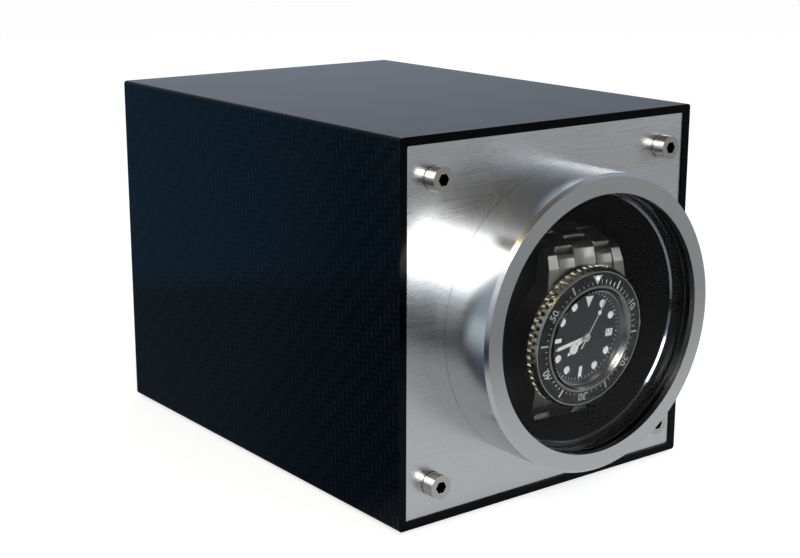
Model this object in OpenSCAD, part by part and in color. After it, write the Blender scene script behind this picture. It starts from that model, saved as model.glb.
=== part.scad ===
// Single watch winder: a square lacquered casing with a metal front plate, a round
// glazed cover that pulls off, and a motor-driven drum that turns a watch on its cushion.
// +X right, +Y to the back, +Z up. The origin is the centre of the box's footprint.

/* [Casing] */
// Width and height of the square casing
casing_w = 105; // [103:0.5:116]
// Depth of the casing, without the cover
casing_d = 145; // [143:0.5:165]
// Wall thickness of the casing
casing_wall = 5; // [4:0.25:5.5]
// Rounding of the casing's long edges
edge_r = 1; // [0.4:0.1:1.8]
// Width of the black rim that shows round the front plate
rim_w = 2.3; // [1.8:0.1:3]
// Depth of the front plate below its rim
plate_recess = 0.5; // [0.2:0.1:1.2]
// Depth of the rear panel below its rim
panel_recess = 3; // [2.8:0.1:4]
// Radius of each rubber foot
foot_r = 5; // [3.5:0.25:6.5]
// Height that the feet lift the casing
foot_h = 1; // [0.8:0.1:2]
// Distance of the feet's centres from the casing's sides
foot_inset = 12; // [9:0.5:20]

/* [Front plate and pillars] */
// Thickness of the front plate
plate_t = 4; // [3:0.25:5]
// Radius of the plates' corners
plate_corner_r = 0.5; // [0.4:0.1:3]
// Thickness of the rear panel
panel_t = 3; // [2:0.25:4]
// Distance of the corner screws from the casing's sides
screw_inset = 11.25; // [10.5:0.25:12]
// Thread radius of the corner screws
screw_r = 2; // [1.5:0.25:2]
// Radius of the corner screws' heads
screw_head_r = 3.3; // [3:0.1:3.8]
// Height of the corner screws' heads
screw_head_h = 4; // [3:0.25:5]
// Thread length behind the plates
screw_reach = 9; // [6:0.5:12]
// Radius of the four corner pillars
pillar_r = 4.8; // [4:0.1:5]

/* [Cover] */
// Outer radius of the cover and its collar
cover_r = 40.8; // [40.3:0.1:42.5]
// How far the cover's front stands ahead of the rim
cover_proj = 20.3; // [19.5:0.1:26]
// Height of the collar above the front plate
collar_h = 4.3; // [3.2:0.1:6]
// Bevel on the cover's front edge, across
bevel_w = 0.86; // [0.4:0.1:1.6]
// Bevel on the cover's front edge, along
bevel_h = 1; // [0.4:0.1:2]
// Radius of the window in the cover
window_r = 35.5; // [34.4:0.1:35.9]
// Thickness of the lip in front of the glass
lip_t = 1.8; // [1.2:0.1:2.6]
// Thickness of the glass
glass_t = 2; // [1.5:0.1:2.5]
// Thickness of the gasket behind the glass
gasket_t = 0.6; // [0.4:0.1:1]
// Length of the spigot that the cover slides over
spigot_len = 5; // [3.8:0.2:6]
// Thickness of the spigot's wall
spigot_wall = 2; // [1.6:0.1:2.2]
// Thickness of the rubber ring in the spigot's groove
oring_d = 1.2; // [0.8:0.1:1.4]
// Thread radius of the screws that hold the collar
collar_screw_r = 1.25; // [1:0.05:1.3]

/* [Drum] */
// Outer radius of the drum
drum_r = 35.9; // [35.4:0.1:35.9]
// Thickness of the drum's wall
drum_wall = 2; // [1.5:0.1:2]
// Depth of the drum's mouth behind the cover's front
mouth_depth = 7.9; // [7:0.1:9.5]
// Gap between the drum's floor and the front bulkhead
drum_gap = 5; // [4:0.5:9]
// Thickness of the drum's floor
drum_floor = 3; // [2:0.25:4]
// Radius of the drum's shaft
shaft_r = 4; // [3:0.25:4.5]

/* [Bearings and drive] */
// Outer radius of the ball bearings
bearing_r = 11; // [10.5:0.25:12]
// Width of the ball bearings
bearing_w = 7; // [6:0.5:8]
// Radius of the balls
ball_r = 1.95; // [1.5:0.05:2]
// Balls in each bearing
ball_count = 7; // [5:1:8]
// Thickness of both bulkheads
bulkhead_t = 4; // [3:0.5:5]
// Gear module
gear_module = 1; // [0.95:0.01:1.02]
// Teeth on the drum's gear
gear_teeth = 36; // [36:4:40]
// Teeth on the motor's pinion
pinion_teeth = 12; // [12:4:12]
// Width of the drum's gear
gear_w = 6; // [4:0.5:7]
// Radius of the motor's output shaft
motor_shaft_r = 2; // [1.5:0.25:2.5]
// Radius of the motor
motor_r = 12.2; // [10:0.2:12.4]
// Length of the gearbox in front of the motor
gearbox_len = 14; // [12:1:20]
// Room for the leads between the motor and the circuit board
lead_room = 8; // [7:0.5:14]

/* [Batteries and controls] */
// Radius of a C cell
cell_r = 13.1; // [12:0.1:13.2]
// Length of a C cell
cell_len = 50; // [44:0.5:50]
// Distance between the two cells' axes
cell_pitch = 30; // [28.5:0.5:34]
// Height of the cells' axes above the casing's underside
cell_z = 22; // [20.5:0.5:24]
// Gap between the battery tray and the rear bulkhead
bay_gap = 1; // [0.5:0.5:6]
// Width of the circuit board
board_w = 62; // [54:1:64]
// Height of the circuit board
board_h = 24; // [20:1:26]
// Radius of the power button
button_r = 4; // [3:0.25:5]
// Travel of the power button
button_travel = 1.2; // [0.8:0.1:1.6]
// Travel of the direction switch, each way from its middle
switch_travel = 2.5; // [1.5:0.25:3]
// Radius of the power socket's bore
socket_r = 2.9; // [2.8:0.1:3.4]

/* [Holder] */
// Width of the cushion
cushion_w = 44; // [38:1:46]
// Thickness of the holder's base disc
base_t = 4; // [3:0.25:5]
// Thickness of the holder's two cheeks
cheek_t = 2.5; // [2:0.1:3]

/* [Watch] */
// Depth of the watch's crystal behind the cover's front
watch_depth = 6; // [5.5:0.1:8]
// Turn of the drum at rest, clockwise, in degrees
rest_turn = 2.5; // [0:0.5:3]
// Drop of the watch below the drum's axis
watch_drop = 5.5; // [4:0.1:5.7]
// How far the watch sits to the right of the cushion's middle
watch_shift = 1.8; // [0:0.1:2]
// Lean of the watch's top towards the front, in degrees
watch_tilt = 5; // [0:0.5:8]
// Thickness of the watch's crystal
crystal_t = 3.2; // [2.4:0.1:3.4]
// How far the bezel stands out past the middle case
bezel_overhang = 0.7; // [0.4:0.1:1.2]
// Width of the notched edge round the bezel's insert
bezel_edge = 1.3; // [1:0.1:2]
// Width of the bezel's insert
insert_w = 3.5; // [3.3:0.1:3.9]
// Radius of the watch's middle case
case_r = 19.3; // [18.6:0.1:19.5]
// Thickness of the watch from case back to crystal
watch_t = 12.7; // [12:0.1:13.4]
// Height of the lug ends above and below the watch's centre
lug_reach = 23.4; // [23:0.1:24]
// Width of the bracelet at the lugs
strap_w = 20; // [18:0.25:21]
// Width of the bracelet at the clasp
clasp_w = 16; // [14:0.25:18]
// Thickness of the bracelet
link_t = 3; // [2.4:0.1:3.2]
// Radius of the crown
crown_r = 3.5; // [2.8:0.1:3.8]

/* [Hidden] */
$fn = 72;

// Clearances: a running gap, a fit that is assembled by hand, a gap round a soft piece
run_gap = 0.05;
fit_gap = 0.15;
soft_gap = 0.3;

// The depth of things is measured from the front rim, forward is negative
face_y = -(casing_d - cover_proj) / 2;
axis_z = foot_h + casing_w / 2;
plate_w = casing_w - 2 * rim_w;
plate_back = plate_recess + plate_t;
panel_back = casing_d - panel_recess;
panel_front = panel_back - panel_t;
inner_w = casing_w - 2 * casing_wall;
screw_pitch = casing_w - 2 * screw_inset;

// Cover
seam = plate_recess - collar_h;
throat_r = drum_r + 0.7;
spigot_r = throat_r + spigot_wall;
spigot_front = seam - spigot_len;
counterbore_r = spigot_r + fit_gap;
glass_front = -cover_proj + lip_t;
glass_back = glass_front + glass_t;
glass_r = window_r + 1.7;
retainer_front = glass_back + gasket_t;
mouth = -cover_proj + mouth_depth;
retainer_back = mouth - 0.6;
groove_mid = seam - spigot_len / 2;

// Everything behind the drum is set out from the battery tray, and the drum takes what is left
drum_in_r = drum_r - drum_wall;
housing_r = bearing_r + 2.5;
race_stand = 0.5;
hub_gap = 0.5;
hub_front = 1;
hub_back = 0.5;
contact_room = 2.2;
cell_back = panel_front - contact_room;
cell_front = cell_back - cell_len;
contact_spring = 1.4;
wall_t = 1.6;
tray_front = cell_front - contact_spring - wall_t;
mount_y = tray_front - bay_gap;
rear_bulkhead_y = mount_y - bulkhead_t;
bearing2_y = mount_y + race_stand - bearing_w;
gear_y = bearing2_y - hub_gap - hub_back - gear_w;
bearing1_y = gear_y - hub_front - 2 * hub_gap - bearing_w;
front_bulkhead_y = bearing1_y - race_stand;
drum_back = front_bulkhead_y - drum_gap;
floor_front = drum_back - drum_floor;
ball_ring_r = (shaft_r + bearing_r) / 2;
groove_r = ball_r + 0.05;
clip_y = bearing2_y + bearing_w + 0.6;
clip_t = 0.9;
shaft_end = clip_y + clip_t + 1.3;

// Gears
gear_r = gear_module * gear_teeth / 2;
pinion_r = gear_module * pinion_teeth / 2;
gear_centres = gear_r + pinion_r;
tooth_slack = 0.1;
motor_z = axis_z + gear_centres;
gearbox_r = motor_r + 0.3;
motor_screw_r = 1.25;
motor_screw_head = 1.3;
motor_screw_grip = 3;
motor_tag_len = 4;
shaft_in_gearbox = gearbox_len - 4.5;

// Batteries, board and controls
tray_w = cell_pitch + 2 * cell_r + 2 * wall_t + 1;
tray_h = 2 * cell_r + 2 * wall_t + 1;
tray_back = panel_front;
contact_t = 0.4;
cells_z = foot_h + cell_z;
door_w = tray_w - 1;
door_h = tray_h - 1;
lid_plug = contact_room - 0.6;
board_t = 1.6;
standoff_len = 7;
button_body_h = 2.4;
button_flange_t = 1;
button_proud = 2;
switch_proud = 1.5;
board_back = panel_front - standoff_len;
board_z = axis_z + 19;
board_front = board_back - board_t;
motor_back = board_front - lead_room;
motor_len = motor_back - mount_y - gearbox_len;
standoff_x = board_w / 2 - 4;
standoff_z = board_h / 2 - 4;
button_x = 11 - board_w / 2;
switch_x = -4;
lens_x = 8;
socket_x = board_w / 2 - 10;
lens_r = 1.5;
switch_w = 5;
switch_h = 3.4;
lead_r = 0.6;

// Watch, in its own frame: x right, y up the dial, z out of the crystal
bezel_top = -1;
bezel_bottom = -4.4;
bezel_r = case_r + bezel_overhang;
insert_t = 0.5;
insert_r = bezel_r - bezel_edge;
insert_in_r = insert_r - insert_w;
neck_r = insert_in_r - 0.1;
neck_top = bezel_top + 0.4;
bezel_bevel = 1.6;
notch_r = 0.8;
crystal_r = neck_r - 0.7;
dial_z = -crystal_t - 2;
dial_r = crystal_r - 0.9;
dial_open_r = dial_r - 0.8;
plot_ring = dial_open_r - 2.4;
date_x = dial_open_r - 3.3;
back_t = 1.7;
hand_post_r = 0.55;
crown_z = -8;
crown_gap = 0.35;
stem_r = 1;
movement_r = dial_r - 0.6;
stem_gap = 1.4;
stem_in_case = case_r - movement_r - stem_gap;
stem_in_crown = 2;
lug_w = 3.9;
lug_z = -8.2;
end_gap = 0.25;
watch_y = -cover_proj + watch_depth;
watch_z = axis_z - watch_drop;

// The bracelet leaves the upper lugs, goes round the cushion and comes back to the lower
// lugs: each link turns a little further from the one before, and the loop is symmetrical
half_headings = [18, -4, -24, -45, -68, -90];
link_headings = concat(half_headings, [-90], [for (i = [5:-1:0]) -180 - half_headings[i]]);
link_count = len(link_headings);
function total_sine(i) = i < 0 ? 0 : sin(link_headings[i]) + total_sine(i - 1);
link_pitch = -2 * lug_reach / total_sine(link_count - 1);
function joint_at(i) = i == 0 ? [-lug_z, lug_reach]
    : joint_at(i - 1) + link_pitch * [cos(link_headings[i - 1]), sin(link_headings[i - 1])];
clasp_links = 3;
clasp_first = (link_count - clasp_links) / 2;
clasp_last = clasp_first + clasp_links - 1;
pin_r = 0.6;
spring_bar_r = 1;
function link_width(i) = strap_w - (strap_w - clasp_w) * (1 - abs(2 * i / (link_count - 1) - 1));
clasp_t = link_t + 0.6;
cushion_inset = clasp_t / 2 + soft_gap + 0.1;
function joint_heading(i) = (link_headings[i - 1] + link_headings[i]) / 2;
function inset_at(i) = joint_at(i)
    + cushion_inset * [sin(joint_heading(i)), -cos(joint_heading(i))];
cushion_front = watch_t + soft_gap;
cushion_clear_r = drum_in_r - 1;
base_back = floor_front - soft_gap;
base_front = base_back - base_t;
base_r = drum_in_r - 0.4;
cheek_x = cushion_w / 2 + soft_gap;
cheek_h = 26;
cheek_front = 4;

// ---- helpers ----

// A square with round corners, from true circles and squares
module rounded_square(w, h, r) {
    square([w - 2 * r, h], center = true);
    square([w, h - 2 * r], center = true);
    for (x = [-1, 1], y = [-1, 1])
        translate([x * (w / 2 - r), y * (h / 2 - r)]) circle(r);
}

// Children drawn in the front's plane, x across and y up, are pulled along +Y
module slab(y, t, z = axis_z) {
    translate([0, face_y + y + t, z]) rotate([90, 0, 0]) linear_extrude(t) children();
}

// A turned piece on the drum's axis, from points of radius and depth
module turned(points) {
    translate([0, face_y, axis_z]) rotate([-90, 0, 0]) rotate_extrude() polygon(points);
}

// A plain ring on the drum's axis
module ring(r_in, r_out, y, t) {
    turned([[r_in, y], [r_out, y], [r_out, y + t], [r_in, y + t]]);
}

// A rod along +Y at x, z
module rod(x, z, r, y, t) {
    translate([x, face_y + y, z]) rotate([-90, 0, 0]) cylinder(r = r, h = t);
}

// Children repeated at the four corner screws
module at_corners(pitch = screw_pitch) {
    for (x = [-1, 1], z = [-1, 1]) translate([x * pitch / 2, 0, z * pitch / 2]) children();
}

// Children are turned about the drum's axis, as the drum stands at rest
module at_rest() {
    translate([0, 0, axis_z]) rotate([0, rest_turn, 0]) translate([0, 0, -axis_z]) children();
}

// The watch's frame, its origin at the middle of the crystal's top
module on_watch(shift = watch_shift) {
    at_rest() translate([shift, face_y + watch_y, watch_z])
        rotate([90 + watch_tilt, 0, 0]) children();
}

// Children drawn from the watch's side, x its depth and y up, are pulled across it
module watch_side(width) {
    rotate([0, 90, 0]) translate([0, 0, -width / 2]) linear_extrude(width) children();
}

// A wire through a list of points
module wire(points, r) {
    for (i = [0:len(points) - 2]) {
        run = points[i + 1] - points[i];
        translate(points[i])
            rotate([0, acos(run[2] / norm(run)), atan2(run[1], run[0])])
                cylinder(r = r, h = norm(run), $fn = 16);
    }
    for (i = [1:len(points) - 2]) translate(points[i]) sphere(1.1 * r, $fn = 16);
}

// A spur gear's outline; slack thins its teeth
module gear_outline(teeth, slack) {
    r = gear_module * teeth / 2;
    root = r - 1.25 * gear_module;
    tip = r + gear_module;
    half = gear_module * PI / 4 - slack;
    step = 360 / teeth;
    function on(radius, angle) = radius * [cos(angle), sin(angle)];
    function flank(radius, width) = asin(width / radius);
    polygon([for (i = [0:teeth - 1]) let (a = i * step) each [
        on(root, a - flank(root, half * 1.25)), on(r, a - flank(r, half)),
        on(tip, a - flank(tip, half * 0.48)), on(tip, a + flank(tip, half * 0.48)),
        on(r, a + flank(r, half)), on(root, a + flank(root, half * 1.25))]]);
}

// ---- casing ----

module casing() {
    color("#101317") difference() {
        slab(0, casing_d) rounded_square(casing_w, casing_w, edge_r);
        slab(-1, casing_d + 2) square(inner_w, center = true);
        slab(-1, plate_back + 1) rounded_square(plate_w, plate_w, plate_corner_r);
        slab(panel_front, casing_d) rounded_square(plate_w, plate_w, plate_corner_r);
    }
}

module front_plate() {
    color("#9a9b9c") difference() {
        slab(plate_recess, plate_t)
            rounded_square(plate_w - 2 * fit_gap, plate_w - 2 * fit_gap, plate_corner_r);
        slab(0, plate_back + 1) circle(throat_r);
        at_corners() rod(0, axis_z, screw_r + 0.2, 0, plate_back + 1);
        collar_screw_places() rod(0, axis_z, collar_screw_r + 0.1, 0, plate_back + 1);
    }
}

module rear_panel() {
    color("#17181a") difference() {
        slab(panel_front, panel_t)
            rounded_square(plate_w - 2 * fit_gap, plate_w - 2 * fit_gap, plate_corner_r);
        at_corners() rod(0, axis_z, screw_r + 0.2, panel_front - 1, panel_t + 2);
        slab(panel_front - 1, panel_t + 2, cells_z) square([door_w, door_h], center = true);
        slab(panel_front + 1.5, panel_t, cells_z) square([door_w + 3, door_h + 3], center = true);
        rod(button_x, board_z, button_r + run_gap, panel_front - 1, panel_t + 2);
        rod(lens_x, board_z, lens_r + run_gap, panel_front - 1, panel_t + 2);
        rod(socket_x, board_z, socket_r + 1.6, panel_front - 1, panel_t + 2);
        slab(panel_front - 1, panel_t + 2, board_z) translate([switch_x, 0])
            square([switch_w + 2 * switch_travel + 0.3, switch_h + 0.3], center = true);
    }
}

module corner_pillars() {
    color("#b9bcc0") at_corners() difference() {
        rod(0, axis_z, pillar_r, plate_back, panel_front - plate_back);
        rod(0, axis_z, screw_r + run_gap, plate_back - 1, screw_reach + 2);
        rod(0, axis_z, screw_r + run_gap, panel_front - screw_reach - 1, screw_reach + 2);
    }
}

// Cap screws with hexagon sockets
module cap_screw(grip) {
    socket_af = 1.5 * screw_r;
    difference() {
        union() {
            translate([0, 0, -screw_head_h]) cylinder(r = screw_head_r, h = screw_head_h - 0.4);
            translate([0, 0, -0.4]) cylinder(r = screw_head_r - 0.25, h = 0.4);
            cylinder(r = screw_r, h = grip + screw_reach);
        }
        translate([0, 0, -screw_head_h - 1])
            cylinder(r = socket_af / sqrt(3), h = 1 + screw_head_h / 2, $fn = 6);
    }
}

module plate_screws() {
    color("#a9a7a2") at_corners()
        translate([0, face_y + plate_recess, axis_z]) rotate([-90, 0, 0]) cap_screw(plate_t);
}

module panel_screws() {
    head_h = 1.6;
    color("#2a2b2d") at_corners() difference() {
        union() {
            rod(0, axis_z, screw_head_r, panel_back, head_h);
            rod(0, axis_z, screw_r, panel_front - screw_reach, screw_reach + panel_t);
        }
        translate([0, face_y + panel_back + head_h / 2, axis_z]) rotate([-90, 0, 0])
            cylinder(r = screw_r / sqrt(3), h = head_h, $fn = 6);
    }
}

module rubber_feet() {
    color("#1b1b1b") for (x = [-1, 1], y = [foot_inset, casing_d - foot_inset])
        translate([x * (casing_w / 2 - foot_inset), face_y + y, 0]) {
            cylinder(r = foot_r - 0.3, h = foot_h);
            translate([0, 0, 0.3]) cylinder(r = foot_r, h = foot_h - 0.3);
        }
}

// ---- collar and cover ----

module collar_screw_places() {
    for (a = [0:90:270])
        translate([0, 0, axis_z]) rotate([0, a, 0]) translate([(throat_r + cover_r) / 2, 0, -axis_z])
            children();
}

module base_collar() {
    groove = oring_d + 0.1;
    color("#b3b6ba") difference() {
        turned([[throat_r, plate_recess], [cover_r, plate_recess], [cover_r, seam],
                [spigot_r, seam], [spigot_r, spigot_front + 0.4], [spigot_r - 0.4, spigot_front],
                [throat_r, spigot_front]]);
        ring(spigot_r - groove, spigot_r + 1, groove_mid - groove / 2, groove);
        collar_screw_places()
            rod(0, axis_z, collar_screw_r + run_gap, seam + 1.2, collar_h);
    }
}

module collar_screws() {
    color("#8e9094") collar_screw_places() {
        rod(0, axis_z, collar_screw_r, seam + 1.6, plate_back - seam - 1.6);
        rod(0, axis_z, min(1.8 * collar_screw_r, (throat_r + cover_r) / 2 - drum_r - 0.3),
            plate_back, 1.6);
    }
}

module collar_oring() {
    color("#141414") translate([0, face_y + groove_mid, axis_z]) rotate([-90, 0, 0])
        rotate_extrude() translate([spigot_r + run_gap - oring_d / 2, 0]) circle(oring_d / 2);
}

module cover_ring() {
    front = -cover_proj;
    back = seam - fit_gap;
    bore_end = spigot_front - fit_gap;
    color("#a7a9ab") turned([
        [window_r, front], [cover_r - bevel_w, front], [cover_r, front + bevel_h],
        [cover_r, back], [counterbore_r, back], [counterbore_r, bore_end],
        [glass_r + run_gap, bore_end], [glass_r + run_gap, glass_front],
        [window_r, glass_front]]);
}

module glass() {
    color([0.75, 0.85, 0.88, 0.35]) ring(0, glass_r, glass_front, glass_t);
}

module glass_gasket() {
    color("#111111") ring(window_r, glass_r, glass_back, gasket_t);
}

module glass_retainer() {
    color("#0b0b0c") turned([
        [window_r, retainer_front], [glass_r, retainer_front], [glass_r, retainer_back],
        [window_r + 0.4, retainer_back], [window_r, retainer_back - 0.4]]);
}

// ---- chassis and bearings ----

module bulkhead(y, housing_y, housing_len) {
    difference() {
        union() {
            slab(y, bulkhead_t) square(inner_w - 2 * fit_gap, center = true);
            ring(0, housing_r, housing_y, housing_len);
        }
        rod(0, axis_z, bearing_r + run_gap, housing_y - 1, housing_len + 2);
        at_corners() rod(0, axis_z, pillar_r + run_gap, y - 1, bulkhead_t + 2);
    }
}

module front_bulkhead() {
    color("#34373b")
        bulkhead(front_bulkhead_y, front_bulkhead_y, bearing_w + 2 * race_stand);
}

module rear_bulkhead() {
    color("#34373b") difference() {
        bulkhead(rear_bulkhead_y, bearing2_y - 0.3, mount_y - bearing2_y + 0.3);
        rod(0, motor_z, motor_shaft_r + 2, rear_bulkhead_y - 1, bulkhead_t + 2);
        motor_screw_places() rod(0, motor_z, motor_screw_r + 0.1, rear_bulkhead_y - 1, bulkhead_t + 2);
    }
}

module races(r_in, r_out) {
    for (y = [bearing1_y, bearing2_y]) difference() {
        ring(r_in, r_out, y, bearing_w);
        translate([0, face_y + y + bearing_w / 2, axis_z]) rotate([-90, 0, 0])
            rotate_extrude() translate([ball_ring_r, 0]) circle(groove_r);
    }
}

module bearing_outer_races() {
    color("#8f9296") races(ball_ring_r + 0.6 * ball_r, bearing_r);
}

module bearing_inner_races() {
    color("#9a9da1") races(shaft_r + run_gap, ball_ring_r - 0.6 * ball_r);
}

module bearing_balls() {
    color("#c9ccd0") for (y = [bearing1_y, bearing2_y], i = [0:ball_count - 1])
        translate([0, face_y + y + bearing_w / 2, axis_z]) rotate([0, i * 360 / ball_count, 0])
            translate([ball_ring_r, 0, 0]) sphere(ball_r);
}

// ---- drum ----

module drum_cup() {
    boss_r = shaft_r + 3;
    lip = drum_wall / 4;
    boss_back = bearing1_y - 0.2;
    color("#0d0e10") turned([
        [0, floor_front], [drum_in_r, floor_front], [drum_in_r, mouth + lip],
        [drum_in_r + lip, mouth], [drum_r - lip, mouth], [drum_r, mouth + lip],
        [drum_r, drum_back], [boss_r, drum_back], [boss_r, boss_back],
        [shaft_r + run_gap, boss_back], [shaft_r + run_gap, floor_front + 0.8],
        [0, floor_front + 0.8]]);
}

module drum_shaft() {
    color("#b5b8bc") difference() {
        rod(0, axis_z, shaft_r, floor_front + 1, shaft_end - floor_front - 1);
        ring(shaft_r - 0.6, shaft_r + 1, clip_y, clip_t + 0.1);
    }
}

module drum_gear() {
    color("#d8d4c8") difference() {
        union() {
            slab(gear_y, gear_w) gear_outline(gear_teeth, tooth_slack);
            ring(0, shaft_r + 3, gear_y - hub_front, hub_front + gear_w + hub_back);
        }
        rod(0, axis_z, shaft_r + run_gap, gear_y - 2, gear_w + 4);
        for (a = [0:60:300]) translate([0, 0, axis_z]) rotate([0, a, 0])
            translate([0.62 * gear_r, 0, -axis_z]) rod(0, axis_z, 0.17 * gear_r, gear_y - 1, gear_w + 2);
    }
}

module shaft_clip() {
    color("#55585c") difference() {
        ring(shaft_r - 0.55, shaft_r + 1.4, clip_y + 0.05, clip_t);
        translate([0, face_y + clip_y, axis_z - shaft_r]) cube([2.4, 4 * clip_t, 2 * shaft_r], center = true);
    }
}

// ---- motor ----

module motor_screw_places() {
    for (x = [-1, 1]) translate([x * 0.7 * gearbox_r, 0, 0]) children();
}

module gearbox() {
    color("#8d8f92") difference() {
        rod(0, motor_z, gearbox_r, mount_y, gearbox_len);
        rod(0, motor_z, motor_shaft_r + run_gap, mount_y - 1, 1 + shaft_in_gearbox + 0.5);
        motor_screw_places()
            rod(0, motor_z, motor_screw_r + run_gap, mount_y - 1, 1.5 + motor_screw_grip);
    }
}

module motor() {
    can_y = mount_y + gearbox_len;
    color("#c4c6c8") {
        rod(0, motor_z, motor_r, can_y, motor_len - 2);
        rod(0, motor_z, motor_r - 1.5, can_y + motor_len - 2, 2);
    }
    color("#c9a34a") for (x = [-1, 1])
        translate([x * motor_r / 2, face_y + motor_back + motor_tag_len / 2, motor_z])
            cube([2.4, motor_tag_len, 0.5], center = true);
}

module motor_screws() {
    color("#77797c") motor_screw_places() {
        rod(0, motor_z, motor_screw_r, rear_bulkhead_y, bulkhead_t + motor_screw_grip);
        rod(0, motor_z, 1.7 * motor_screw_r, rear_bulkhead_y - motor_screw_head, motor_screw_head);
    }
}

module motor_shaft() {
    color("#c0c3c7") rod(0, motor_z, motor_shaft_r, gear_y - 1, mount_y + shaft_in_gearbox - gear_y + 1);
}

module pinion() {
    color("#c9a34a") translate([0, 0, gear_centres]) difference() {
        translate([0, face_y + gear_y - 0.5, axis_z]) rotate([-90, 0, 0])
            rotate(180 / pinion_teeth) linear_extrude(gear_w + 1) gear_outline(pinion_teeth, tooth_slack);
        rod(0, axis_z, motor_shaft_r + run_gap, gear_y - 1, gear_w + 2);
    }
}

// ---- batteries ----

module each_cell() {
    for (x = [-1, 1]) translate([x * cell_pitch / 2, 0, 0]) children();
}

module battery_holder() {
    color("#232427") difference() {
        slab(tray_front, tray_back - tray_front, cells_z) square([tray_w, tray_h], center = true);
        each_cell() rod(0, cells_z, cell_r + 0.4, tray_front + wall_t, tray_back);
        slab(panel_front - lid_plug - 0.3, panel_t, cells_z) square([door_w - 2, door_h - 2], center = true);
    }
}

module batteries() {
    color("#8a6a2c") each_cell() {
        rod(0, cells_z, cell_r, cell_front, cell_len - 1.5);
        rod(0, cells_z, cell_r / 3, cell_back - 1.5, 1.5);
    }
}

module battery_contacts() {
    color("#cfd2d5") each_cell() {
        translate([-4, face_y + tray_front + wall_t, cells_z - 6]) cube([8, contact_t, 12]);
        translate([-2.5, face_y + tray_front + wall_t, cells_z - 1])
            cube([5, cell_front - tray_front - wall_t, 2]);
    }
}

module battery_door() {
    lip_w = 1.3;
    color("#17181a") difference() {
        union() {
            slab(panel_front - lid_plug, panel_t + 0.4, cells_z)
                square([door_w - 2 * fit_gap - 2, door_h - 2 * fit_gap - 2], center = true);
            slab(panel_front + 1.55, panel_t - 1.55, cells_z)
                square([door_w + 2 * lip_w, door_h + 2 * lip_w], center = true);
        }
        slab(panel_back - 0.9, 2, cells_z - door_h / 2 + 5) square([12, 4], center = true);
    }
}

// ---- electronics ----

module circuit_board() {
    color("#1f5a36") difference() {
        slab(board_back - board_t, board_t, board_z) square([board_w, board_h], center = true);
        for (x = [-1, 1], z = [-1, 1])
            rod(x * standoff_x, board_z + z * standoff_z, 1.3, board_back - board_t - 1, board_t + 2);
    }
}

module board_components() {
    deck = board_front;
    color("#26272a") {
        slab(deck - 1.6, 1.6, board_z) translate([-board_w / 4, 0]) square([10, 10], center = true);
        slab(deck - 2.2, 2.2, board_z) translate([0, -board_h / 4]) square([7, 5], center = true);
        rod(board_w / 3, board_z - 4, 3.2, deck - 8, 8);
        slab(board_back, button_body_h, board_z) translate([button_x, 0]) square([6, 6], center = true);
        slab(board_back, button_body_h, board_z) translate([switch_x, 0]) square([12, 6], center = true);
        slab(board_back, 1.2, board_z) translate([lens_x, 0]) square([3, 3], center = true);
    }
}

module board_standoffs() {
    color("#c2a14f") for (x = [-1, 1], z = [-1, 1]) {
        rod(x * standoff_x, board_z + z * standoff_z, 2.4, board_back, standoff_len);
        rod(x * standoff_x, board_z + z * standoff_z, 1.25, board_back - board_t, board_t);
        rod(x * standoff_x, board_z + z * standoff_z, 2.2, board_back - board_t - 1.2, 1.2);
    }
}

// Two leads from the motor's tags down to the board's inner face
module motor_leads() {
    deck = face_y + board_front;
    tag = face_y + motor_back + 0.75 * motor_tag_len;
    bend = deck - lead_room / 4;
    for (side = [-1, 1]) color(side < 0 ? "#8c1f1f" : "#1b1b1b")
        wire([[side * motor_r / 2, tag, motor_z - 0.5], [side * motor_r / 2, bend, motor_z - 6],
              [side * motor_r / 2, deck, motor_z - 6]], lead_r);
}

module power_button() {
    flange_front = panel_front - 0.2 - button_flange_t;
    stem_front = board_back + button_body_h + button_travel + 0.1;
    color("#2e3033") {
        rod(button_x, board_z, button_r, panel_front - 0.3, panel_t + 0.3 + button_proud);
        rod(button_x, board_z, button_r + 0.9, flange_front, button_flange_t);
        rod(button_x, board_z, 1.5, stem_front, flange_front - stem_front);
    }
}

module direction_switch() {
    color("#2e3033") {
        slab(board_back + button_body_h + 0.1, panel_t + standoff_len - button_body_h, board_z)
            translate([switch_x, 0]) square([switch_w - 2, switch_h - 1], center = true);
        slab(panel_front + 0.3, panel_t - 0.3 + switch_proud, board_z)
            translate([switch_x, 0]) square([switch_w, switch_h], center = true);
    }
}

module power_socket() {
    flange = socket_r + 2.6;
    rear = panel_back;
    color("#1d1e20") difference() {
        union() {
            rod(socket_x, board_z, socket_r + 1.5, board_back, rear - board_back);
            rod(socket_x, board_z, flange, rear, 0.8);
        }
        rod(socket_x, board_z, socket_r, board_back + 1, rear);
    }
    color("#c9ccd0") rod(socket_x, board_z, 1.05, board_back + 1, rear - board_back - 2);
}

module status_lens() {
    color("#7fb28a") rod(lens_x, board_z, lens_r, board_back + 1.3, panel_back - board_back - 1.1);
}

// ---- holder ----

module holder_base() {
    color("#101113") difference() {
        ring(0, base_r, base_front, base_t);
        ring(base_r - 1.1, base_r + 1, base_front + base_t / 2 - 0.65, 1.3);
    }
}

module holder_oring() {
    color("#1a1a1a") translate([0, face_y + base_front + base_t / 2, axis_z]) rotate([-90, 0, 0])
        rotate_extrude() translate([drum_in_r - run_gap - 0.6, 0]) circle(0.6);
}

module holder_cheeks() {
    color("#101113") at_rest() for (x = [-1, 1]) intersection() {
        translate([x * (cheek_x + cheek_t / 2), face_y, watch_z])
            translate([-cheek_t / 2, cheek_front, -cheek_h / 2])
                cube([cheek_t, base_front - cheek_front, cheek_h]);
        rod(0, axis_z, cushion_clear_r, cheek_front - 1, base_front - cheek_front + 2);
    }
}

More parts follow.
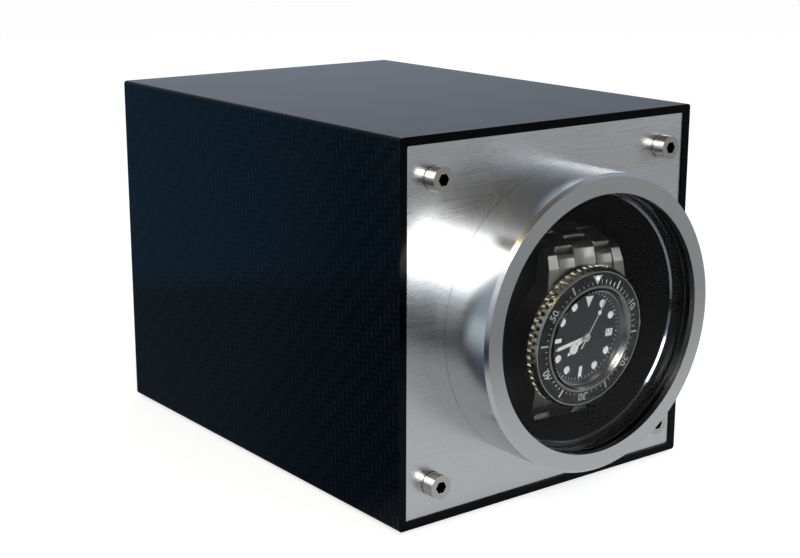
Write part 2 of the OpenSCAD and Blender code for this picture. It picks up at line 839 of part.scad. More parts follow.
module cushion() {
    color("#141416") intersection() {
        on_watch(0) watch_side(cushion_w)
            polygon(concat([[cushion_front, inset_at(1)[1] - 1]],
                           [for (i = [1:link_count - 1]) inset_at(i)],
                           [[cushion_front, -inset_at(1)[1] + 1]]));
        rod(0, axis_z, cushion_clear_r, -cover_proj, base_front + cover_proj);
    }
}

// ---- watch ----

// Side profile of a lug, swept across, cut by its plan
module lugs() {
    outer = strap_w / 2 + end_gap / 2 + lug_w;
    inner = strap_w / 2 + end_gap / 2;
    for (x = [-1, 1], y = [-1, 1]) mirror([x < 0 ? 1 : 0, 0, 0])
        mirror([0, y < 0 ? 1 : 0, 0])
        intersection() {
            translate([0, 0, -watch_t]) linear_extrude(watch_t)
                polygon([[inner, 6], [case_r - 4, 6], [outer, lug_reach - 6],
                         [outer - 0.9, lug_reach + 0.6], [inner, lug_reach + 0.6]]);
            watch_side(2 * bezel_r)
                polygon([[4.6, 6], [4.6, case_r - 4.3], [5.6, case_r + 0.2],
                         [-lug_z - 1, lug_reach - 0.6], [-lug_z + 2.2, lug_reach + 0.6],
                         [-lug_z + 2.6, lug_reach - 1.4], [9.6, case_r - 3.3], [10.4, 6]]);
        }
}

module watch_case() {
    color("#8f8d86") on_watch() difference() {
        union() {
            cylinder_between(case_r, -watch_t + back_t, bezel_bottom - 0.1);
            cylinder_between(neck_r, bezel_bottom - 1, neck_top);
            lugs();
            for (y = [-1, 1]) mirror([0, y < 0 ? 1 : 0, 0]) translate([0, 0, crown_z - 2])
                linear_extrude(4) polygon([[case_r - 3, crown_r + 0.3], [case_r + 2.4, crown_r + 0.5],
                                           [case_r + 1.8, crown_r + 2.6], [case_r - 1.6, crown_r + 5.2]]);
        }
        cylinder_between(crystal_r + run_gap, -crystal_t - 0.1, 1);
        cylinder_between(dial_r + 0.1, dial_z - 0.6, 1);
        cylinder_between(movement_r + 0.1, -watch_t - 1, 0);
        translate([case_r - 9, 0, crown_z]) rotate([0, 90, 0]) cylinder(r = stem_r + run_gap, h = 12);
    }
}

module cylinder_between(r, low, high) {
    translate([0, 0, low]) cylinder(r = r, h = high - low);
}

module case_back() {
    color("#98968f") on_watch() {
        cylinder_between(case_r - 3.2, -watch_t, -watch_t + back_t);
        cylinder_between(movement_r, -watch_t + back_t, -watch_t + back_t + 0.6);
    }
}

module movement() {
    color("#b8a77a") on_watch() {
        cylinder_between(movement_r, -watch_t + back_t + 0.7, dial_z - 0.6);
        cylinder_between(hand_post_r, dial_z - 0.6, dial_z + 1.8);
    }
}

module dial() {
    color("#0c0e10") on_watch() difference() {
        cylinder_between(dial_r, dial_z - 0.5, dial_z);
        cylinder_between(hand_post_r + run_gap, dial_z - 1, dial_z + 1);
        translate([date_x - 1.3, -1.1, dial_z - 0.25]) cube([2.6, 2.2, 1]);
    }
}

module rehaut() {
    color("#7d7e7f") on_watch() rotate_extrude() polygon([
        [dial_open_r, dial_z + 0.05], [dial_r, dial_z + 0.05], [dial_r, -crystal_t - 0.15],
        [dial_open_r + 0.45, -crystal_t - 0.15]]);
}

// Round plots, batons at six and nine, a triangle at twelve, and the date at three
module hour_markers() {
    color("#d8d9d2") on_watch() translate([0, 0, dial_z]) {
        linear_extrude(0.3) {
            for (hour = [1, 2, 4, 5, 7, 8, 10, 11]) rotate(-30 * hour)
                translate([0, plot_ring]) circle(0.95);
            for (hour = [6, 9]) rotate(-30 * hour) translate([-0.55, plot_ring - 1.7]) square([1.1, 3]);
            polygon([[-1.45, plot_ring + 1.2], [1.45, plot_ring + 1.2], [0, plot_ring - 1.9]]);
        }
        translate([date_x - 1.2, -1, -0.22]) cube([2.4, 2, 0.24]);
    }
}

module crystal() {
    color([0.8, 0.87, 0.9, 0.3]) on_watch() rotate_extrude() polygon([
        [0, -crystal_t], [crystal_r, -crystal_t], [crystal_r, -0.5], [crystal_r - 0.45, 0], [0, 0]]);
}

// A turned ring with a bevelled edge, notched all round
module bezel() {
    notches = 60;
    rim = insert_r + run_gap;
    color("#8e8a7d") on_watch() difference() {
        rotate_extrude() polygon([
            [neck_r + run_gap, bezel_bottom], [bezel_r, bezel_bottom],
            [bezel_r, bezel_top - bezel_bevel], [rim + 0.25, bezel_top],
            [rim, bezel_top], [rim, bezel_top - insert_t], [neck_r + run_gap, bezel_top - insert_t]]);
        for (i = [0:notches - 1]) rotate((i + 0.5) * 360 / notches)
            translate([bezel_r + 0.05, 0, bezel_bottom + 0.6]) cylinder(r = notch_r, h = 4, $fn = 20);
    }
}

module bezel_insert() {
    color("#101114") on_watch() rotate_extrude() polygon([
        [insert_in_r, bezel_top - insert_t], [insert_r, bezel_top - insert_t],
        [insert_r, bezel_top - 0.05], [insert_in_r, bezel_top + 0.25]]);
}

// A flat hand: a ring round the post, a tapering blade and a short tail
module hand(level, t, reach, width, tail, angle) {
    hub = 1.15;
    on_watch() translate([0, 0, level]) rotate(-angle) linear_extrude(t) difference() {
        union() {
            circle(hub);
            polygon([[-width / 2, -tail], [width / 2, -tail], [width / 2, reach - width],
                     [0, reach], [-width / 2, reach - width]]);
        }
        circle(hand_post_r + run_gap);
    }
}

// The time shown at rest
shown_minutes = 43;
minute_angle = 6 * shown_minutes;
hour_angle = 30 * 7 + minute_angle / 12;
second_angle = 28;

module hour_hand() {
    color("#c9c9c4") {
        hand(dial_z + 0.45, 0.2, dial_open_r - 4.9, 1.3, 1.2, hour_angle);
        on_watch() translate([0, 0, dial_z + 0.45]) rotate(-hour_angle)
            translate([0, dial_open_r - 7.9]) cylinder(r = 1.6, h = 0.2);
    }
}

module minute_hand() {
    color("#c9c9c4") hand(dial_z + 0.85, 0.2, dial_open_r - 1.3, 1.2, 1.2, minute_angle);
}

module second_hand() {
    color("#c9c9c4") hand(dial_z + 1.25, 0.15, dial_open_r - 0.9, 0.35, 3.4, second_angle);
}

module crown() {
    color("#a3a19a") on_watch() translate([case_r + crown_gap, 0, crown_z]) rotate([0, 90, 0])
        difference() {
            union() {
                cylinder(r = crown_r - 0.5, h = 0.5);
                translate([0, 0, 0.5]) cylinder(r = crown_r, h = 3);
                translate([0, 0, 3.5]) cylinder(r = crown_r - 0.5, h = 0.5);
            }
            translate([0, 0, -1]) cylinder(r = stem_r + run_gap, h = 1 + stem_in_crown + 0.1);
        }
}

module crown_stem() {
    color("#bcbcb8") on_watch() translate([case_r - stem_in_case, 0, crown_z]) rotate([0, 90, 0])
        cylinder(r = stem_r, h = stem_in_case + crown_gap + stem_in_crown);
}

// One link between two joints of the bracelet
module link(first, last, width, t) {
    a = joint_at(first);
    b = joint_at(last);
    run = b - a;
    length = norm(run) - 0.35;
    r = t / 2;
    on_watch() watch_side(width)
        translate((a + b) / 2) rotate(atan2(run[1], run[0])) rounded_square(length, t, r * 0.9);
}

// The bar through a joint of the bracelet
module pin(i, r, width) {
    on_watch() watch_side(width) translate(joint_at(i)) circle(r);
}

// End links between the lugs, then the links on their bars, as far as the clasp
module bracelet() {
    color("#94928b") {
        for (y = [-1, 1]) on_watch() mirror([0, y < 0 ? 1 : 0, 0]) difference() {
            watch_side(strap_w - end_gap)
                polygon([[4.9, case_r - 4.3], [5.7, case_r + 0.1], [-lug_z - 1.2, lug_reach - 0.9],
                         [-lug_z + 1.2, lug_reach - 0.9], [9.6, case_r - 4.3]]);
            cylinder_between(case_r + 0.1, -watch_t, 0);
        }
        for (i = [0:link_count - 1]) if (i < clasp_first || i > clasp_last)
            link(i, i + 1, link_width(i), link_t);
        for (i = [0, link_count]) pin(i, spring_bar_r, strap_w - end_gap);
        for (i = [1:link_count - 1]) if (i <= clasp_first || i > clasp_last)
            pin(i, pin_r, clasp_w - 2);
    }
}

module clasp() {
    color("#9a9891") difference() {
        link(clasp_first, clasp_last + 1, clasp_w + 1, clasp_t);
        for (i = [clasp_first, clasp_last + 1]) pin(i, pin_r + run_gap, clasp_w);
    }
}

casing();
front_plate();
rear_panel();
corner_pillars();
plate_screws();
panel_screws();
rubber_feet();
base_collar();
collar_screws();
collar_oring();
cover_ring();
glass();
glass_gasket();
glass_retainer();
front_bulkhead();
rear_bulkhead();
bearing_outer_races();
bearing_balls();
bearing_inner_races();
drum_cup();
drum_shaft();
drum_gear();
shaft_clip();
motor();
gearbox();
motor_screws();
motor_shaft();
pinion();
battery_holder();
batteries();
battery_contacts();
battery_door();
circuit_board();
board_components();
board_standoffs();
motor_leads();
power_button();
direction_switch();
power_socket();
status_lens();
holder_base();
holder_cheeks();
holder_oring();
cushion();
watch_case();
case_back();
movement();
dial();
rehaut();
hour_markers();
crystal();
bezel();
bezel_insert();
hour_hand();
minute_hand();
second_hand();
crown();
crown_stem();
bracelet();
clasp();
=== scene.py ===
import math
import bpy
from mathutils import Matrix, Vector


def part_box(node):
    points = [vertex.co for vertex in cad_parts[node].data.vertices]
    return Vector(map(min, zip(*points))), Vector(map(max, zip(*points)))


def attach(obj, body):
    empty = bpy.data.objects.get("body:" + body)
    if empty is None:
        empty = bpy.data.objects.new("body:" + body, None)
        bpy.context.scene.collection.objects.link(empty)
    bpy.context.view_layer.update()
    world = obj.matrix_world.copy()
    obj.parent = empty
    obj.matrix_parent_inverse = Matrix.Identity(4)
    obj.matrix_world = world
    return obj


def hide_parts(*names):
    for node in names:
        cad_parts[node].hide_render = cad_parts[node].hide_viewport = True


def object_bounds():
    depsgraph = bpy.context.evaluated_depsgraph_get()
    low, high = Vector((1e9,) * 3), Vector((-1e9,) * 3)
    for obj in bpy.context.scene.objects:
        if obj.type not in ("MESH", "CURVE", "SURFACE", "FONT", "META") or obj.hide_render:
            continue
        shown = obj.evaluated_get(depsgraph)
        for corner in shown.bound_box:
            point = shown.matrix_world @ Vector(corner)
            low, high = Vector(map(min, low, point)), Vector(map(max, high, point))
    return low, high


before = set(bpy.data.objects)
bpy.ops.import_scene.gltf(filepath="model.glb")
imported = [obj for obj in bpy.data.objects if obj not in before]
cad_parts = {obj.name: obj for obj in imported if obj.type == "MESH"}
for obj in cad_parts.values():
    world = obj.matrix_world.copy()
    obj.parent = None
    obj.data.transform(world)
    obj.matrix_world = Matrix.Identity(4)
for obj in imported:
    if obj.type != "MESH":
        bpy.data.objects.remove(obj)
cad_low, cad_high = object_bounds()

# ---- Studio -------------------------------------------------------------
# A pale table and an even white room, four soft lamps, and the camera low
# on the box's left, with its long lens.
bpy.context.scene.view_settings.view_transform = "Standard"

camera_data = bpy.data.cameras.new("camera")
camera_data.lens = 68.715
camera_data.sensor_width = 36
camera_data.clip_start = 0.01
camera = bpy.data.objects.new("camera", camera_data)
bpy.context.scene.collection.objects.link(camera)
camera_at = Vector((-0.27951, -0.35855, 0.16542))
camera_to = Vector((-0.0202, -0.02035, 0.05665))
camera_roll = math.radians(0.12)
camera.location = camera_at
camera.rotation_mode = "QUATERNION"
aim = (camera_to - camera_at).to_track_quat("-Z", "Y")
camera.rotation_quaternion = aim @ Matrix.Rotation(camera_roll, 3, "Z").to_quaternion()
bpy.context.scene.camera = camera


class Flow:
    """One output of a material's nodes. Arithmetic on it adds Math nodes."""

    def __init__(self, tree, socket=None):
        self.tree = tree
        self.socket = socket

    def node(self, kind, settings, values, out=0):
        made = self.tree.nodes.new("ShaderNode" + kind)
        for key, value in settings.items():
            setattr(made, key, value)
        for key, value in values.items():
            port = made.inputs[key]
            if isinstance(value, Flow):
                self.tree.links.new(value.socket, port)
            else:
                port.default_value = value
        return Flow(self.tree, made.outputs[out] if made.outputs else None)

    def math(self, operation, *values):
        ports = dict(enumerate((self,) + values))
        return self.node("Math", {"operation": operation}, ports)

    def __add__(self, other):
        return self.math("ADD", other)

    def __radd__(self, other):
        return self.math("ADD", other)

    def __sub__(self, other):
        return self.math("SUBTRACT", other)

    def __rsub__(self, other):
        return self.math("MULTIPLY_ADD", -1.0, other)

    def __mul__(self, other):
        return self.math("MULTIPLY", other)

    def __rmul__(self, other):
        return self.math("MULTIPLY", other)

    def __truediv__(self, other):
        return self.math("DIVIDE", other)

    def __gt__(self, other):
        return self.math("GREATER_THAN", other)

    def __lt__(self, other):
        return self.math("LESS_THAN", other)

    def mix(self, low, high):
        """This value chooses between two colours."""
        if not isinstance(low, Flow):
            low = (*low, 1)
        if not isinstance(high, Flow):
            high = (*high, 1)
        return self.node("Mix", {"data_type": "RGBA"}, {0: self, 6: low, 7: high}, 2)

    def between(self, start, end, low=0.0, high=1.0):
        """Maps this value from start..end to low..high, smoothly and clamped."""
        ports = {0: self, 1: start, 2: end, 3: low, 4: high}
        return self.node("MapRange", {"interpolation_type": "SMOOTHSTEP"}, ports)

    def part(self, axis):
        return self.node("SeparateXYZ", {}, {0: self}, "XYZ".index(axis))


world = bpy.data.worlds.new("room")
bpy.context.scene.world = world
world.use_nodes = True
world.node_tree.nodes.clear()
room = Flow(world.node_tree)


def sightlines(flow):
    """Rays that come straight from the camera, and rays that come from a mirror."""
    through = flow.node("LightPath", {}, {}, "Is Transmission Ray")
    polished = flow.node("LightPath", {}, {}, "Glossy Depth")
    bounces = polished + flow.node("LightPath", {}, {}, "Diffuse Depth")
    straight = flow.node("LightPath", {}, {}, "Is Camera Ray") + through * (bounces < 0.5)
    glossy = flow.node("LightPath", {}, {}, "Is Glossy Ray")
    mirrored = glossy * (1 - through) + through * (polished > 0.5)
    return straight, mirrored


seen, mirrored = sightlines(room)
heading = room.node("TexCoord", {}, {}, "Generated")
height = heading.part("Z")
across = heading.part("X")
# What metal and lacquer mirror: a dim room, paler overhead and darker to the
# right, with a dark, warm ceiling in front of the box
black = (0, 0, 0)
white = (1, 1, 1, 1)
wall_tint = (0.90, 1.02, 1.20)
ceiling_tint = (0.12, 0.10, 0.08)
wall_level = 0.28
overhead_gain = 0.17
left_gain = 0.12
wall = height.between(0.0, 0.45) * overhead_gain + across.between(0.5, 0.9, left_gain, 0.0) + wall_level
ceiling = height.between(0.35, 0.6) * heading.part("Y").between(-0.4, -0.1, 1.0, 0.0)
mirror_tint = ceiling.mix(wall.mix(black, wall_tint), ceiling_tint)
lit = room.node("Background", {}, {"Color": white, "Strength": 0.5})
shiny = room.node("Background", {}, {"Color": mirror_tint, "Strength": 1.0})
blank = room.node("Background", {}, {"Color": white, "Strength": 1.0})
base = room.node("MixShader", {}, {0: mirrored, 1: lit, 2: shiny})
final = room.node("MixShader", {}, {0: seen, 1: base, 2: blank})
room.node("OutputWorld", {}, {"Surface": final})

bpy.ops.object.select_all(action="DESELECT")
bpy.ops.mesh.primitive_plane_add(size=6, location=(0, 0, 0))
table = bpy.context.object
table.name = "table"
table_paint = bpy.data.materials.new("table_paint")
table_paint.use_nodes = True
table_paint.node_tree.nodes.clear()
top = Flow(table_paint.node_tree)
seen, mirrored = sightlines(top)
spot = top.node("TexCoord", {}, {}, "Object")
side = spot.part("X")
depth = spot.part("Y")

# What they mirror of the table is painted light and shade: pale in front of the box,
# with a painted dimmer patch in it. Beside and behind the box it is grey, then blue,
# with a painted bright band far out to the left. A painted dark patch lies off the box's front left.
near_tint = (0.98, 1.0, 1.02)
grey_tint = (0.17, 0.21, 0.30)
blue_tint = (0.15, 0.34, 0.58)
bright_tint = (0.72, 0.82, 0.88)
apron = depth.between(-0.24, -0.13) * 0.28 + 0.36
# Painted shade: a dimmer patch in the pale table in front of the box
dip = ((side - 0.09).math("ABSOLUTE").between(0.0, 0.07, 1.0, 0.0)
       * (depth + 0.225).math("ABSOLUTE").between(0.0, 0.06, 1.0, 0.0))
near = (apron - dip * 0.18).mix(black, near_tint)
far = (depth - side * 0.746).between(0.30, 0.33)
leftward = depth + side * 1.333
left = leftward.between(-0.13, -0.03, 0.5, 1.0).mix(black, far.mix(grey_tint, blue_tint))
painted_bright_band = leftward.between(-0.185, -0.145, 1.0, 0.0) * depth.between(0.0, 0.05)
left = painted_bright_band.mix(left, bright_tint)
around = depth.between(-0.08, -0.03).mix(near, left)
# Painted shade: a dark patch round a point off the box's front left, in what the table mirrors
painted_dark_patch_reach = ((side + 0.22).math("POWER", 2.0) + (depth + 0.22).math("POWER", 2.0)).math("SQRT")
shade = painted_dark_patch_reach.between(0.10, 0.17).mix(black, around)
diffuse = top.node("BsdfDiffuse", {}, {"Color": (0.8, 0.8, 0.8, 1)})
pale = top.node("BsdfDiffuse", {}, {"Color": (0.55, 0.55, 0.55, 1)})
glow = top.node("Emission", {}, {"Color": white, "Strength": 0.7})
shown = top.node("AddShader", {}, {0: pale, 1: glow})
mirror = top.node("Emission", {}, {"Color": shade, "Strength": 1.0})
final = top.node("MixShader", {}, {0: seen, 1: diffuse, 2: shown})
final = top.node("MixShader", {}, {0: mirrored, 1: final, 2: mirror})
top.node("OutputMaterial", {}, {"Surface": final})
table.data.materials.append(table_paint)


def softbox(name, at, to, size, power, tint=(1, 1, 1)):
    """A rectangular lamp that faces a point."""
    data = bpy.data.lights.new(name, "AREA")
    data.shape = "RECTANGLE"
    data.size, data.size_y = size
    data.energy = power
    data.color = tint
    lamp = bpy.data.objects.new(name, data)
    bpy.context.scene.collection.objects.link(lamp)
    lamp.location = at
    lamp.rotation_mode = "QUATERNION"
    lamp.rotation_quaternion = (Vector(to) - Vector(at)).to_track_quat("-Z", "Y")
    return lamp


front = (0, -0.05, 0.05)
softbox("key", (-0.52, -0.88, 0.46), front, (0.38, 0.50), 5.8)
softbox("warm_lamp", (-0.55, -0.60, 0.75), front, (0.10, 0.10), 0.6, (1.0, 0.78, 0.45))
softbox("right_fill", (0.9, -0.6, 0.30), front, (0.4, 0.3), 2.0)
softbox("top_back", (0.5, 0.9, 0.7), (0, 0, 0.1), (0.6, 0.3), 0.5)

# ---- Casing -------------------------------------------------------------
# A square tube of wrapped board under thick black lacquer. A fine twill, with a painted sheen
# on the crowns of its threads, shows through the lacquer on the outside, and the front rim is plain.
tow = 1.9
tow_dark = (0.0002, 0.0006, 0.0012)
tow_sheen = (0.0024, 0.0070, 0.0115)
rim_tint = (0.008, 0.008, 0.009)


def material(name):
    made = bpy.data.materials.new(name)
    made.use_nodes = True
    made.node_tree.nodes.clear()
    return made, Flow(made.node_tree)


def finish(flow, values):
    """The shader and the output of one material."""
    ports = {key: (*value, 1) if isinstance(value, tuple) and len(value) == 3 else value
             for key, value in values.items()}
    shader = flow.node("BsdfPrincipled", {}, ports)
    flow.node("OutputMaterial", {}, {"Surface": shader})


def dress(made, *nodes):
    """Gives the CAD nodes a material."""
    for node in nodes:
        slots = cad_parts[node].material_slots
        for slot in slots:
            slot.material = made
        if not slots:
            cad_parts[node].data.materials.append(made)


def millimetres(flow):
    """The place on a piece, in millimetres."""
    place = flow.node("TexCoord", {}, {}, "Object")
    return place.node("VectorMath", {"operation": "SCALE"}, {0: place, 3: 1000.0})


def grain(flow, at, scale, detail=3.0, rough=0.55):
    """Noise of 0 to 1, with scale in 1/mm."""
    return flow.node("TexNoise", {}, {"Vector": at, "Scale": scale, "Detail": detail,
                                      "Roughness": rough})


def relief(flow, height, depth, strength=1.0):
    """A bump whose depth is in millimetres."""
    return flow.node("Bump", {}, {"Height": height, "Strength": strength,
                                  "Distance": depth / 1000})


lacquer, flow = material("lacquer")
at = millimetres(flow)
facing = flow.node("NewGeometry", {}, {}, "Normal")
on_side = facing.part("X").math("ABSOLUTE") > 0.7
on_rim = facing.part("Y").math("ABSOLUTE") > 0.7
u = at.part("Y")
v = on_side * at.part("Z") + (1 - on_side) * at.part("X")
column = (u / tow).math("FLOOR")
row = (v / tow).math("FLOOR")
# Over two tows and under two, one step further in each row
warp_up = ((column + row) * 0.25).math("FRACT") < 0.49
along_u = (u / tow).math("FRACT") - 0.5
along_v = (v / tow).math("FRACT") - 0.5
crown_u = 1 - along_u * along_u * 3.2
crown_v = 1 - along_v * along_v * 3.2
thread = warp_up * crown_u + (1 - warp_up) * crown_v
speckle = grain(flow, at, 0.8, 4.0)
# Painted sheen: each thread is painted paler along its crown, and the threads of one direction more
# than the other
sheen = thread.math("POWER", 3.0) * (0.45 + warp_up * 0.55) * (0.4 + speckle) * (1 - on_rim)
tone = on_rim.mix(sheen.mix(tow_dark, tow_sheen), rim_tint)
finish(flow, {
    "Base Color": tone,
    "Metallic": on_rim,
    "Roughness": 0.10 + grain(flow, at, 0.05) * 0.05,
    "Normal": relief(flow, thread * on_side + speckle * 0.2, 0.02, 0.5),
    "Specular IOR Level": 0.08,
})
dress(lacquer, "casing")

# ---- Front plate and its screws ----------------------------------------
# An aluminium plate, brushed from side to side and half polished, held by
# four cap screws in satin steel.


def brushed(name, colour, rough, stretch, amount=0.2, bump=0.004):
    """Metal with fine lines: stretch is the grain's scale along X, Y and Z, in 1/mm."""
    made, flow = material(name)
    at = millimetres(flow)
    lines = flow.node("Mapping", {}, {"Vector": at, "Scale": stretch})
    fine = grain(flow, lines, 1.0, 5.0, 0.7)
    broad = grain(flow, at, 0.06, 2.0)
    dark = tuple(c * (1 - amount) for c in colour)
    finish(flow, {
        "Base Color": (fine * 0.7 + broad * 0.3).mix(dark, colour),
        "Metallic": 1.0,
        "Roughness": rough + (fine - 0.5) * 0.16 + (broad - 0.5) * 0.06,
        "Normal": relief(flow, fine, bump, 0.6),
    })
    return made


dress(brushed("plate_brushed", (0.70, 0.71, 0.71), 0.28, (0.04, 2.6, 2.6), 0.24, 0.008), "front_plate")
dress(brushed("screw_steel", (0.55, 0.53, 0.50), 0.28, (3.0, 3.0, 3.0)),
      "collar_screws", "motor_screws")

# The sockets of the plate's screws are painted dark inside, as painted shade in their recesses
axis_z = 53.5
screw_at = 41.25
socket_r = 1.76
socket_mouth = -65.8
socket_shade = (0.004, 0.004, 0.004)
steel_low = (0.44, 0.43, 0.41)
steel_high = (0.56, 0.54, 0.51)
cap_screw, flow = material("cap_screw")
at = millimetres(flow)
off_x = at.part("X").math("ABSOLUTE") - screw_at
off_z = (at.part("Z") - axis_z).math("ABSOLUTE") - screw_at
in_socket = ((off_x * off_x + off_z * off_z) < socket_r ** 2) * (at.part("Y") > socket_mouth)
fine = grain(flow, at, 2.5, 4.0)
finish(flow, {
    "Base Color": in_socket.mix(fine.mix(steel_low, steel_high), socket_shade),
    "Metallic": 1.0,
    "Roughness": 0.14 + fine * 0.12,
    "Normal": relief(flow, fine, 0.003, 0.5),
})
dress(cap_screw, "plate_screws")

# ---- Collar and cover ---------------------------------------------------
# Turned aluminium: the collar is screwed to the plate, and the cover slides
# over its spigot. The lathe leaves fine rings round the axis.


def turned(name, colour, rough, pitch):
    """Metal off a lathe: its rings lie round the drum's axis, pitch in mm apart."""
    made, flow = material(name)
    at = millimetres(flow)
    moved = flow.node("VectorMath", {"operation": "SUBTRACT"}, {0: at, 1: (0, 0, axis_z)})
    radius = (moved.part("X").math("POWER", 2.0) + moved.part("Z").math("POWER", 2.0)).math("SQRT")
    rings = flow.node("CombineXYZ", {}, {0: radius / pitch, 1: at.part("Y") / pitch, 2: 0.0})
    fine = grain(flow, rings, 1.0, 3.0, 0.7)
    broad = grain(flow, at, 0.07, 2.0)
    dark = tuple(c * 0.88 for c in colour)
    finish(flow, {
        "Base Color": (fine * 0.7 + broad * 0.3).mix(dark, colour),
        "Metallic": 1.0,
        "Roughness": rough + (fine - 0.5) * 0.10 + (broad - 0.5) * 0.05,
        "Normal": relief(flow, fine, 0.0025, 0.5),
    })
    return made


dress(turned("cover_turned", (0.60, 0.61, 0.615), 0.22, 0.22), "base_collar", "cover_ring")

# ---- Glass --------------------------------------------------------------
# A flat, clear pane behind the cover's front edge.
clear_glass, flow = material("clear_glass")
at = millimetres(flow)
finish(flow, {
    "Base Color": (0.96, 0.98, 0.98),
    "Roughness": grain(flow, at, 0.05).between(0.3, 0.8, 0.0, 0.012),
    "Transmission Weight": 1.0,
    "IOR": 1.15,
})
dress(clear_glass, "glass")

# ---- Holder, drum and liner ---------------------------------------------
# Gloss black plastic. The ring that holds the glass is polished harder, and
# the drum's mouth has a metal edge.
black_low = (0.0008, 0.0009, 0.0012)
black_high = (0.002, 0.002, 0.0026)
gloss_black, flow = material("gloss_black")
at = millimetres(flow)
finish(flow, {
    "Base Color": grain(flow, at, 0.3).mix(black_low, black_high),
    "Roughness": grain(flow, at, 0.4).between(0.2, 0.8, 0.08, 0.15),
    "Normal": relief(flow, grain(flow, at, 0.15, 2.0), 0.01, 0.25),
    "Specular IOR Level": 0.12,
})
dress(gloss_black, "holder_base", "holder_cheeks")

mouth = 1000 * cad_low[1] + 7.9
edge_w = 0.6
edge_tint = (0.22, 0.235, 0.245)
drum_black, flow = material("drum_black")
at = millimetres(flow)
mouth_edge = (at.part("Y") < mouth + edge_w) * (at.part("Y") > mouth - 0.1)
tone = grain(flow, at, 0.3).mix(black_low, black_high)
finish(flow, {
    "Base Color": mouth_edge.mix(tone, edge_tint),
    "Metallic": mouth_edge,
    "Roughness": grain(flow, at, 0.4).between(0.2, 0.8, 0.08, 0.15),
    "Normal": relief(flow, grain(flow, at, 0.15, 2.0), 0.01, 0.25),
    "Specular IOR Level": 0.12,
})
dress(drum_black, "drum_cup")

liner_black, flow = material("liner_black")
at = millimetres(flow)
finish(flow, {
    "Base Color": grain(flow, at, 0.3).mix(black_low, black_high),
    "Roughness": grain(flow, at, 0.4).between(0.2, 0.8, 0.04, 0.07),
    "Specular IOR Level": 0.25,
})
dress(liner_black, "glass_retainer")

# ---- Rubber -------------------------------------------------------------
# The glass's gasket, the rings on collar and holder, and the feet.
rubber, flow = material("rubber")
at = millimetres(flow)
finish(flow, {
    "Base Color": grain(flow, at, 0.9).mix((0.012, 0.012, 0.012), (0.025, 0.025, 0.026)),
    "Roughness": grain(flow, at, 1.5).between(0.2, 0.8, 0.62, 0.82),
    "Normal": relief(flow, grain(flow, at, 2.2), 0.02, 0.5),
})
dress(rubber, "glass_gasket", "collar_oring", "holder_oring", "rubber_feet")

# ---- Chassis, bearings and drive ---------------------------------------
# Two moulded bulkheads on four turned pillars carry the ball bearings, and
# a small gear motor drives the drum through a resin gear.


def moulded(name, low, high, rough=(0.42, 0.6), size=1.4, depth=0.03):
    """Plastic with the fine texture of its mould."""
    made, flow = material(name)
    at = millimetres(flow)
    finish(flow, {
        "Base Color": grain(flow, at, 0.25, 4.0).mix(low, high),
        "Roughness": grain(flow, at, size).between(0.2, 0.8, *rough),
        "Normal": relief(flow, grain(flow, at, size * 2, 2.0), depth, 0.45),
    })
    return made


dress(moulded("bulkhead_grey", (0.06, 0.065, 0.07), (0.09, 0.095, 0.10)),
      "front_bulkhead", "rear_bulkhead", "battery_holder")
dress(turned("ground_steel", (0.62, 0.62, 0.63), 0.16, 0.15),
      "bearing_outer_races", "bearing_inner_races", "drum_shaft", "motor_shaft")
dress(brushed("ball_steel", (0.72, 0.72, 0.73), 0.12, (2.0, 2.0, 2.0), 0.08, 0.001), "bearing_balls")
dress(brushed("drawn_steel", (0.56, 0.56, 0.57), 0.3, (3.0, 0.2, 3.0)),
      "motor", "gearbox", "corner_pillars")
dress(brushed("black_oxide", (0.035, 0.036, 0.038), 0.42, (3.0, 3.0, 3.0), 0.4),
      "shaft_clip", "panel_screws")
dress(moulded("gear_resin", (0.62, 0.59, 0.50), (0.72, 0.69, 0.60), (0.45, 0.6)), "drum_gear")
dress(brushed("machined_brass", (0.72, 0.53, 0.24), 0.26, (4.0, 4.0, 4.0)),
      "pinion", "board_standoffs")

# ---- Batteries and electronics -----------------------------------------
# Two film-wrapped cells with steel ends in a moulded tray, a green board
# with its parts, and two insulated leads to the motor.
# Where along Y the cells' feet end, and where their caps and their bands start
foot_ends = 25.4
cap_starts = 72.2
band_starts = 58.0
wrap_black = (0.010, 0.010, 0.012)
band_copper = (0.42, 0.20, 0.045)
end_steel = (0.6, 0.6, 0.61)
cell_wrap, flow = material("cell_wrap")
at = millimetres(flow)
along = at.part("Y")
steel_end = (along > cap_starts).math("MAXIMUM", along < foot_ends)
band = (along > band_starts) * (1 - steel_end)
finish(flow, {
    "Base Color": steel_end.mix(band.mix(wrap_black, band_copper), end_steel),
    "Metallic": steel_end,
    "Roughness": 0.24 + grain(flow, at, 0.5) * 0.12,
})
dress(cell_wrap, "batteries")
dress(brushed("contact_nickel", (0.66, 0.65, 0.62), 0.25, (2.0, 2.0, 6.0)), "battery_contacts")

board_green, flow = material("board_green")
at = millimetres(flow)
lanes = (at.part("X") * 0.45 + grain(flow, at, 0.09, 0.0) * 2.2).math("FRACT")
tracks = (lanes - 0.5).math("ABSOLUTE") < 0.14
finish(flow, {
    "Base Color": tracks.mix((0.010, 0.075, 0.030), (0.020, 0.14, 0.055)),
    "Roughness": 0.3 + grain(flow, at, 1.0) * 0.1,
    "Normal": relief(flow, tracks, 0.03, 0.6),
})
dress(board_green, "circuit_board")
dress(moulded("part_black", (0.018, 0.018, 0.019), (0.032, 0.032, 0.034)), "board_components")

lead_cover, flow = material("lead_cover")
at = millimetres(flow)
# One lead is red and the other is black
on_left = at.part("X") < 0
finish(flow, {
    "Base Color": on_left.mix((0.012, 0.012, 0.012), (0.34, 0.018, 0.014)),
    "Roughness": 0.38 + grain(flow, at, 1.2) * 0.15,
})
dress(lead_cover, "motor_leads")

